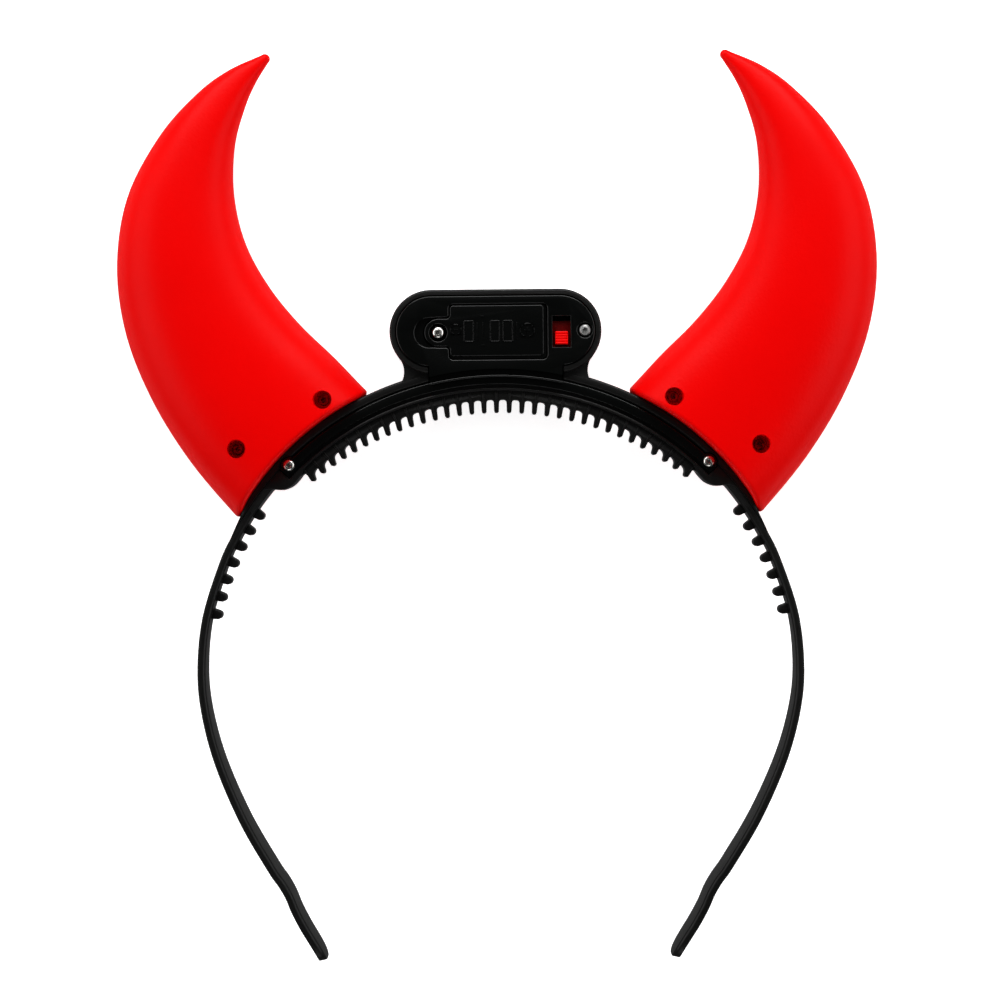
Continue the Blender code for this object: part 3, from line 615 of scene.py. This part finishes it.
def door_shape(grow, ledge=0):
    """The battery door's outline, whose left side runs out into a round lug."""
    left, high = DOOR_LEFT - grow, DOOR_HIGH + grow
    right, low = DOOR_RIGHT + grow - ledge, DOOR_LOW - grow + ledge
    lug, inner, outer = LUG_RADIUS + grow, 0.9 - grow, 0.8 + grow
    points = arc(right - outer, low + outer, outer, -90, 0, 6)
    points += arc(right - outer, high - outer, outer, 0, 90, 6)
    points += arc(left + outer, high - outer, outer, 90, 180, 6)
    points += arc(left - inner, LUG_Y + lug + inner, inner, 0, -90, 6)
    points += arc(LUG_X, LUG_Y, lug, 90, 270, 30)
    points += arc(left - inner, LUG_Y - lug - inner, inner, 90, 0, 6)
    points += arc(left + outer, low + outer, outer, 180, 270, 6)
    return on_housing(points)


turn_in = math.degrees(math.asin((NECK_HALF - END_X) / PLATE_RADIUS))
right_side = arc(END_X, 0, PLATE_RADIUS, turn_in - 90, 90, 40)
cover_corners = on_housing(right_side + [(-x, y) for x, y in reversed(right_side)])
cover_corners += [tuple(point) for point in neck_foot(NECK_HALF, COVER_FOOT)]
notch = arc(LUG_X - 2.1, LUG_Y, 3.5, 90, 270, 30) + [(LUG_X, LUG_Y - 3.5), (LUG_X, LUG_Y + 3.5)]
slot = rectangle(SLOT_X - SLOT_HALF, SLOT_LOW, SLOT_X + SLOT_HALF, SLOT_HIGH)
cover = carve(
    plate(cover_corners, PLATE_TOP - PLATE_THICK, PLATE_TOP, None, 0),
    plate(door_shape(CLEAR), MID, OVER, None, 0),
    plate(on_housing(notch), PLATE_TOP - 1.1, OVER, None, 0),
    plate(on_housing(slot), MID, OVER, None, 0),
    plate(circle(SCREWS["housing"], 1.8, 48), PLATE_TOP - 1.0, OVER, None, 0),
)
ease(cover, (PLATE_TOP,), 0.24, 3, COVER_FOOT + 0.3)  # the neck's foot stays sharp
neck_step = (
    (COVER_FOOT + 0.1, NECK_LEVEL + CLEAR, PLATE_TOP - 0.7),
    (RIDGE_INNER + 0.2, NECK_LEVEL + 0.1, NECK_LEVEL + CLEAR + 0.05),
)
for radius, low, high in neck_step:
    merge(cover, plate(neck_shape(NECK_HALF - 0.1, radius, 0.2), low, high, None, 0))
ridge_profile = (
    (RIDGE_INNER, MID + 4.0),
    (RIDGE_OUTER, MID + 4.0),
    (RIDGE_OUTER, MID + 6.9),
    (RIDGE_INNER, MID + 6.9),
)
merge(cover, spun(ridge_profile, {2: 0.18, 3: 0.18}, -12.9, 12.4))
strip_profile = (
    (STRIP_INNER, MID + 3.5),
    (STRIP_OUTER, MID + 3.5),
    (STRIP_OUTER, MID + 4.6),
    (STRIP_INNER, MID + 4.6),
)
merge(cover, spun(strip_profile, {2: 0.3, 3: 0.15}, -STRIP_END, STRIP_END))
for side in ("left", "right"):
    merge(cover, plate(circle(SCREWS[side], 1.9), MID + 3.55, MID + 4.58, None, 0.12))
piece("back_cover_plate", cover, satin_black, ["back_cover"])


# The battery door: a thin plate with a lug for its screw and a ledge along two sides. Low
# raised marks show how the three cells lie, with generic polarity signs.
DOOR_TOP, LEDGE, LEDGE_DROP = PLATE_TOP - 0.2, 0.55, 0.4
MARK, MARK_RISE, MARK_EASE, MARK_ROOT = 0.3, 0.2, 0.13, 0.1
CELL_LOW, CELL_HIGH = -2.65, 2.5
recess = plate(circle(SCREWS["door"], 2.1), DOOR_TOP - 0.6, OVER, None, 0)
under = plate(door_shape(0), DOOR_TOP - PLATE_THICK, DOOR_TOP - LEDGE_DROP, None, 0)
door = carve(plate(door_shape(-0.02, LEDGE), DOOR_TOP - 0.9, DOOR_TOP, None, 0), recess.copy())
ease(door, (DOOR_TOP,), 0.22, 3)
merge(door, carve(under, recess))


def mark_frame(points, rounds):
    """A low raised line that follows a closed outline."""
    part = bmesh.new()
    face_of(part, [(x, y, DOOR_TOP - MARK_ROOT) for x, y in on_housing(points)], rounds, 8)
    bmesh.ops.inset_region(part, faces=part.faces[:], thickness=MARK, use_boundary=True)
    inside = max(part.faces, key=lambda face: face.calc_area())
    bmesh.ops.delete(part, geom=[inside], context="FACES_ONLY")
    raised = bmesh.ops.extrude_face_region(part, geom=part.faces[:], use_keep_orig=True)
    moved = [item for item in raised["geom"] if isinstance(item, bmesh.types.BMVert)]
    bmesh.ops.translate(part, verts=moved, vec=(0, 0, MARK_ROOT + MARK_RISE))
    bmesh.ops.recalc_face_normals(part, faces=part.faces)
    ease(part, (DOOR_TOP + MARK_RISE,), MARK_EASE)
    return part


def mark_bar(x, y, width, height):
    bar = rectangle(x - width / 2, y - height / 2, x + width / 2, y + height / 2)
    return plate(on_housing(bar), DOOR_TOP - MARK_ROOT, DOOR_TOP + MARK_RISE, None, MARK_EASE)


for left, right in ((-7.6, -5.1), (-1.35, 1.05), (1.65, 4.15)):
    cell = rectangle(left, CELL_LOW, right, CELL_HIGH)
    merge(door, mark_frame(cell, dict.fromkeys(range(4), 0.4)))
for x in (-4.3, 5.0):
    merge(door, mark_bar(x, -0.08, MARK, 4.2))
for x, y, half, bars in (
    (-9.4, 0.35, 1.35, ((1.3, MARK),)),
    (7.5, 0.05, 1.75, ((1.6, MARK), (MARK, 1.6))),
):
    around = rectangle(x - half, y - half, x + half, y + half)
    merge(door, mark_frame(around, dict.fromkeys(range(4), half - 0.01)))
    for width, height in bars:
        merge(door, mark_bar(x, y, width, height))
for x, y, width, height in (
    (-3.15, 3.45, 0.7, 0.5),
    (-2.95, 0.4, MARK, 3.4),
    (-3.0, -3.4, 0.7, 0.5),
):
    merge(door, mark_bar(x, y, width, height))
piece("battery_door_plate", door, satin_black, ["battery_door"])


# The slide switch's button, of red ABS: a flat slider under the cover, with a ribbed nub
# that stands up through the slot.
NUB_X, NUB_Y = HOUSING.x + SLOT_X, HOUSING.y - 1.75
NUB_HALF, NUB_LOW, NUB_HIGH = 1.5, -1.6, 1.5
RIBS, RIB_START, RIB_PITCH, RIB_HALF = 5, -1.29, 0.62, 0.22
red_plastic = Finish("glossy_red", Specular_IOR_Level=0.12, IOR=1.49)
# Painted shade: the slider's red darkens to near black lower down, below the nub, for the shade
# it lies in under the cover and in the slot; a fine noise varies the tone a little.
height = red_plastic.node("SeparateXYZ", None, {"Vector": red_plastic.place}, "Z")
painted_shade_and_tone = red_plastic.noise(420, 3) * 0.25 + (height - 0.0169) * 1150
slider_tone_with_painted_shade = red_plastic.ramp(
    painted_shade_and_tone, (0.25, (0.08, 0.0003, 0.0003)), (0.95, (0.86, 0.0006, 0.0005))
)
red_plastic.plug(red_plastic.shader.inputs["Base Color"], slider_tone_with_painted_shade)
red_plastic.plug(red_plastic.shader.inputs["Roughness"], red_plastic.noise(90, 3) * 0.14 + 0.28)
red_plastic.bump(red_plastic.noise(2400, 2), 0.00002)
slider = rectangle(NUB_X - 2.6, NUB_Y - 4.05, NUB_X + 2.6, NUB_Y + 4.05)
button = plate(slider, MID + 4.5, MID + 5.3, dict.fromkeys(range(4), 0.3))
nub = rectangle(NUB_X - NUB_HALF, NUB_Y + NUB_LOW, NUB_X + NUB_HALF, NUB_Y + NUB_HIGH)
merge(button, plate(nub, MID + 5.0, MID + 7.28, dict.fromkeys(range(4), 0.2), 0.08))
for number in range(RIBS):
    rib_y = NUB_Y + RIB_START + number * RIB_PITCH
    rib = rectangle(NUB_X - 1.45, rib_y - RIB_HALF, NUB_X + 1.45, rib_y + RIB_HALF)
    merge(button, plate(rib, MID + 7.1, MID + 7.5, None, 0.2, 4, 3))
piece("switch_nub", button, red_plastic.material, ["switch_button"], "switch")


# The horns: each is two hollow half shells of red ABS that meet on a fine seam. The back
# shell has two counterbored holes, for the screws that clamp the shells over the band's tabs.
HORN_ROWS = (  # outer edge x and y, inner edge x and y, half depth
    (53.5, -12.0, 21.5, 17.5, 11.2),
    (63.4, -1.6, 31.0, 26.8, 11.5),
    (74.0, 11.2, 39.0, 35.3, 11.5),
    (82.8, 25.6, 47.4, 43.6, 11.3),
    (88.9, 41.3, 54.7, 52.8, 10.8),
    (90.95, 57.8, 60.2, 63.2, 9.9),
    (88.3, 74.3, 62.8, 74.7, 8.4),
    (80.4, 89.0, 62.5, 86.4, 6.3),
    (71.4, 99.0, 60.0, 95.5, 4.2),
    (63.9, 104.5, 57.4, 101.4, 2.6),
    (55.83, 108.15, 54.37, 106.25, 1.2),
)
NOSE_TURNS = (20, 40, 58, 73, 84)  # degrees round the blunt tip
HORN_STEPS, HORN_AROUND, FULLNESS = 12, 72, 2.2  # a FULLNESS of 2 would be an ellipse
FOOT_ROUND = {"inner": 1.1, "outer": 0.9, "back": 1.0}
FOOT_GAP = 0.16
TABS = {"upper": (41.5, 25.1), "lower": (61.9, 13.6)}
BORE_RADIUS, BORE_FLOOR = 2.15, MID + 4.8
SEAM_HALF = 0.15
horn_red = Finish("horn_red", Specular_IOR_Level=0.05, IOR=1.49)
horn_clouds = horn_red.noise(26, 3)
horn_tone = horn_red.ramp(
    horn_clouds, (0.25, (0.76, 0.0004, 0.0004)), (0.75, (0.84, 0.0006, 0.0005))
)
horn_red.plug(horn_red.shader.inputs["Base Color"], horn_tone)
horn_red.plug(horn_red.shader.inputs["Roughness"], horn_red.noise(70, 4) * 0.10 + 0.28)
horn_red.bump(horn_red.noise(1500, 3), 0.00005)
horn_curve = curve_through(HORN_ROWS, HORN_STEPS)


def row_at(place):
    """The horn's edges and depth at a place along its table of sections."""
    place = min(max(place * HORN_STEPS, 0), len(horn_curve) - 1.0001)
    share = place - int(place)
    return horn_curve[int(place)].lerp(horn_curve[int(place) + 1], share)


def base_crossing(first):
    """The place where an edge of the horn crosses the circle that its foot stands on."""
    low, high = 0.0, 3.0
    for _ in range(40):
        middle = (low + high) / 2
        point = Vector(row_at(middle)[first : first + 2])
        foot_radius = rim_radius(angle_of(point)) + FOOT_GAP
        if (point - ARCH_CENTRE.xy).length < foot_radius:
            low = middle
        else:
            high = middle
    return high


def set_in(radius, height):
    """How far a rounded corner stands back at a height above its foot, in millimetres."""
    return radius - math.sqrt(max(0, radius**2 - max(0, radius - height) ** 2))


def horn_rings():
    """Closed oval rings from the rounded, curved foot to the tip of the right-hand horn."""
    starts = base_crossing(0), base_crossing(2)
    last = len(HORN_ROWS) - 1
    heights = [0, 0.06, 0.22, 0.5, 0.9, 1.4, 2.0]
    heights += [2.0 + 124 * step / 58 for step in range(1, 59)]
    rings, foot_sag = [], []  # foot_sag: from the straight foot to the arch's curve
    for height in heights:
        share = height / heights[-1]
        rows = [row_at(start + (last - start) * share) for start in starts]
        outer, inner = Vector(rows[0][0:2]), Vector(rows[1][2:4])
        across = (inner - outer).normalized()
        outer += across * set_in(FOOT_ROUND["outer"], height)
        inner -= across * set_in(FOOT_ROUND["inner"], height)
        depth = min((rows[0][4] + rows[1][4]) / 2, MID) - set_in(FOOT_ROUND["back"], height)
        pull = max(0, 1 - share / 0.3) ** 2
        ring = []
        for step in range(HORN_AROUND):
            turn = math.tau * step / HORN_AROUND
            wide = math.copysign(abs(math.cos(turn)) ** (2 / FULLNESS), math.cos(turn))
            up = math.copysign(abs(math.sin(turn)) ** (2 / FULLNESS), math.sin(turn))
            point = (outer + inner) / 2 + (outer - inner) / 2 * wide
            if height == 0:
                away = point - ARCH_CENTRE.xy
                foot_radius = rim_radius(angle_of(point)) + FOOT_GAP
                foot_sag.append(away.normalized() * foot_radius - away)
            point = point + foot_sag[step] * pull
            ring.append((point.x, point.y, MID + up * depth))
        rings.append(ring)
    nose = ((outer + inner) / 2).to_3d() + Vector((0, 0, MID))
    ahead = Vector((inner.y - outer.y, outer.x - inner.x, 0)) / 2
    for turn in NOSE_TURNS:
        forward, shrink = math.sin(math.radians(turn)), math.cos(math.radians(turn))
        middle = nose + ahead * forward
        rings.append([tuple(middle + (Vector(point) - nose) * shrink) for point in ring])
    return rings


def bore_for(skin, x, y):
    """A counterbore's cutter, a little wider where it leaves the horn's surface."""
    level = skin.ray_cast(Vector((x, y, 40)), Vector((0, 0, -1)))[0].z
    centre, rings = Vector((x, y)), []
    for radius, z in (
        (BORE_RADIUS, BORE_FLOOR),
        (BORE_RADIUS, level - 0.3),
        (BORE_RADIUS + 0.25, level + 1.3),
    ):
        rings.append([(*point, z) for point in circle(centre, radius, 48, 3)])
    return loft(rings)


horn = loft(horn_rings(), [-1])
horn.verts.ensure_lookup_table()
foot_ring = horn.verts[:HORN_AROUND]
foot_rim = [horn.edges.get(pair) for pair in zip(foot_ring, foot_ring[1:] + foot_ring[:1])]
half_way = HORN_AROUND // 2
bmesh.ops.bridge_loops(horn, edges=foot_rim[1 : half_way - 1] + foot_rim[half_way + 1 : -1])
bmesh.ops.holes_fill(horn, edges=[rim for rim in foot_rim if rim.is_boundary], sides=3)
bmesh.ops.recalc_face_normals(horn, faces=horn.faces)
skin = BVHTree.FromBMesh(horn)
horn = carve(horn, *(bore_for(skin, x, y) for x, y in TABS.values()))
for side, sign in (("left", -1), ("right", 1)):
    for up, half in ((1, "back"), (-1, "front")):
        shell = horn.copy()
        seam = MID + up * SEAM_HALF
        bmesh.ops.bisect_plane(
            shell,
            geom=shell.verts[:] + shell.edges[:] + shell.faces[:],
            dist=0.0001,
            plane_co=(0, 0, seam),
            plane_no=(0, 0, up),
            clear_inner=True,
        )
        bmesh.ops.holes_fill(shell, edges=[rim for rim in shell.edges if rim.is_boundary])
        bmesh.ops.scale(shell, verts=shell.verts, vec=(sign, 1, 1))
        bmesh.ops.recalc_face_normals(shell, faces=shell.faces)
        ease(shell, (seam,), 0.14)
        name = f"horn_{side}_{half}"
        piece(name + "_shell", shell, horn_red.material, [name], "band", 50)


# The screws: eight pan-head self-tappers of nickel-plated steel with a cross recess. Four
# hold the horns, three the cover and one the battery door.
HEAD_RADIUS, HEAD_HEIGHT, DOME = 1.36, 1.0, 3.0
SHANK_RADIUS = 0.7
CROSS_HALF, CROSS_WIDE_HALF, CROSS_DEPTH = 0.8, 0.33, 0.7


def steel(name, sheen, tones, grain):
    """Nickel-plated steel, uneven in sheen, tone and skin, each at its own noise scale."""
    look = Finish(name, Metallic=1.0)
    scale, spread, least = sheen
    look.plug(look.shader.inputs["Roughness"], look.noise(scale, 3) * spread + least)
    scale, dark, light = tones
    look.plug(look.shader.inputs["Base Color"], look.ramp(look.noise(scale, 2), dark, light))
    scale, depth = grain
    look.bump(look.noise(scale, 2), depth)
    return look.material


nickel_plate = steel(
    "nickel_plate",
    (2200, 0.18, 0.16),
    (700, (0.30, (0.50, 0.47, 0.42)), (0.62, (0.80, 0.79, 0.76))),
    (1500, 0.00001),
)
worn_nickel = steel(
    "worn_nickel",
    (1700, 0.20, 0.36),
    (800, (0.35, (0.20, 0.20, 0.20)), (0.65, (0.40, 0.40, 0.39))),
    (2200, 0.00003),
)
# Painted reflection and shade: the four horn screws sit at the floors of deep red bores, so this
# steel is tinted red for the walls' reflected light and darkened for the shade in the bores.
steel_with_painted_red_shade = steel(
    "steel_with_painted_red_shade",
    (1900, 0.20, 0.30),
    (900, (0.35, (0.16, 0.03, 0.03)), (0.65, (0.40, 0.13, 0.13))),
    (2600, 0.00003),
)


def screw(name, place, seat, length, turn, finish=nickel_plate):
    """A shank and a domed head, whose cross is pressed in and tapers towards its floor."""
    top = seat + CLEAR + HEAD_HEIGHT
    domed = [(reach, math.sqrt(DOME**2 - reach**2) - DOME) for reach in (0, 0.3, 0.6, 0.9, 1.1)]
    domed += [(1.25, -0.34), (1.33, -0.45), (HEAD_RADIUS, -0.6)]
    domed += [(HEAD_RADIUS, -HEAD_HEIGHT), (0, -HEAD_HEIGHT)]
    head = bmesh.new()
    outline = [head.verts.new((place.x + reach, place.y, top + drop)) for reach, drop in domed]
    line = [head.edges.new(pair) for pair in zip(outline, outline[1:])]
    bmesh.ops.spin(
        head,
        geom=outline + line,
        cent=place,
        axis=(0, 0, 1),
        angle=math.tau,
        steps=48,
        use_merge=True,
    )
    bmesh.ops.remove_doubles(head, verts=head.verts, dist=0.0005)
    bmesh.ops.recalc_face_normals(head, faces=head.faces)
    cutters = []
    for extra in (0, 90):
        slit = rectangle(-CROSS_HALF, -CROSS_WIDE_HALF, CROSS_HALF, CROSS_WIDE_HALF)
        blade = plate(slit, top - CROSS_DEPTH, top + 0.5, None, 0)
        for corner in blade.verts:
            if corner.co.z < top:
                corner.co.x *= 0.5
                corner.co.y *= 0.75
        turned = Matrix.Rotation(math.radians(turn + extra), 3, "Z")
        bmesh.ops.rotate(blade, verts=blade.verts, matrix=turned)
        bmesh.ops.translate(blade, verts=blade.verts, vec=(*place.xy, 0))
        cutters.append(blade)
    head = carve(head, *cutters)
    shank = circle(place, SHANK_RADIUS, 24)
    merge(head, plate(shank, seat - length, seat + CLEAR + 0.1, None, 0))
    piece(name + "_head", head, finish, [name], "band")


for side, sign in (("left", -1), ("right", 1)):
    for level, (x, y) in TABS.items():
        name, place = f"horn_screw_{side}_{level}", Vector((sign * x, y, 0))
        screw(name, place, BORE_FLOOR, 10.5, 20 + 31 * sign, steel_with_painted_red_shade)
    screw(f"cover_screw_{side}", SCREWS[side], MID + 4.6, 5.5, 40 if sign < 0 else 5)
screw("cover_screw_housing", SCREWS["housing"], PLATE_TOP - 1.0, 5.0, 12, worn_nickel)
screw("door_screw", SCREWS["door"], DOOR_TOP - 0.6, 5.0, 38)


# The stage: a plain pale sweep under the headband, which lies on its front, and a pale
# wall all round that takes no part in the lighting.
floor_shape = bmesh.new()
bmesh.ops.create_grid(floor_shape, x_segments=1, y_segments=1, size=3.0)
bmesh.ops.translate(floor_shape, verts=floor_shape.verts, vec=(0, 0, -0.00005))
sweep = solid("studio_floor", floor_shape)
wall_shape = bmesh.new()
bmesh.ops.create_icosphere(wall_shape, subdivisions=5, radius=2.8)
wall = solid("studio_wall", wall_shape)
paper = Finish("pale_paper", Roughness=0.9, Specular_IOR_Level=0.1, Emission_Strength=0.85)
paper_tone = paper.ramp(paper.noise(6, 2), (0.3, (0.90, 0.90, 0.90)), (0.7, (0.93, 0.93, 0.93)))
paper.plug(paper.shader.inputs["Base Color"], paper_tone)
paper.plug(paper.shader.inputs["Emission Color"], paper_tone)
for backdrop in (sweep, wall):
    backdrop.data.materials.append(paper.material)
    backdrop.visible_glossy = False
wall.visible_diffuse = wall.visible_transmission = wall.visible_shadow = False


# The light: large soft boxes low round the sides and a little more from the top edge, so
# that the flat backs stay dark and the red stays saturated.
def softbox(name, x, y, z, width, height, power):
    light = bpy.data.lights.new(name, "AREA")
    light.shape = "RECTANGLE"
    light.size, light.size_y, light.energy = width, height, power
    made = bpy.data.objects.new(name, light)
    made.location = (x, y, z)
    made.rotation_euler = (Vector((x, y, z)) * -1).to_track_quat("-Z", "Y").to_euler()
    bpy.context.scene.collection.objects.link(made)


softbox("top_box", 0.0, 1.05, 0.75, 1.5, 0.6, 18)
softbox("left_box", -1.05, 0.15, 0.70, 1.4, 0.7, 7)
softbox("right_box", 1.05, 0.15, 0.70, 1.4, 0.7, 7)
softbox("low_box", 0.0, -1.05, 0.75, 0.8, 0.4, 2.5)
world = bpy.data.worlds.new("room")
world.use_nodes = True
nodes, links = world.node_tree.nodes, world.node_tree.links
upward, glow = nodes.new("ShaderNodeSeparateXYZ"), nodes.new("ShaderNodeMapRange")
links.new(nodes.new("ShaderNodeTexCoord").outputs["Generated"], upward.inputs[0])
links.new(upward.outputs["Z"], glow.inputs["Value"])
for label, value in {"From Min": -0.3, "From Max": 0.1, "To Min": 0.17, "To Max": 0.03}.items():
    glow.inputs[label].default_value = value
nodes["Background"].inputs["Color"].default_value = (1, 1, 1, 1)
links.new(glow.outputs[0], nodes["Background"].inputs["Strength"])
bpy.context.scene.world = world
bpy.context.scene.view_settings.view_transform = "Standard"


# The camera looks straight down on the back, from 0.6 m above the seam of the horns, and
# is turned by half a degree, as the headband lies in the photo.
camera_data = bpy.data.cameras.new("camera")
camera_data.sensor_width = 36
camera_data.lens = 90.16
camera = bpy.data.objects.new("camera", camera_data)
camera.location = (0.00018, 0.00102, MID / 1000 + 0.6)
camera.rotation_euler = (0, 0, math.radians(-0.56))
bpy.context.scene.collection.objects.link(camera)
bpy.context.scene.camera = camera
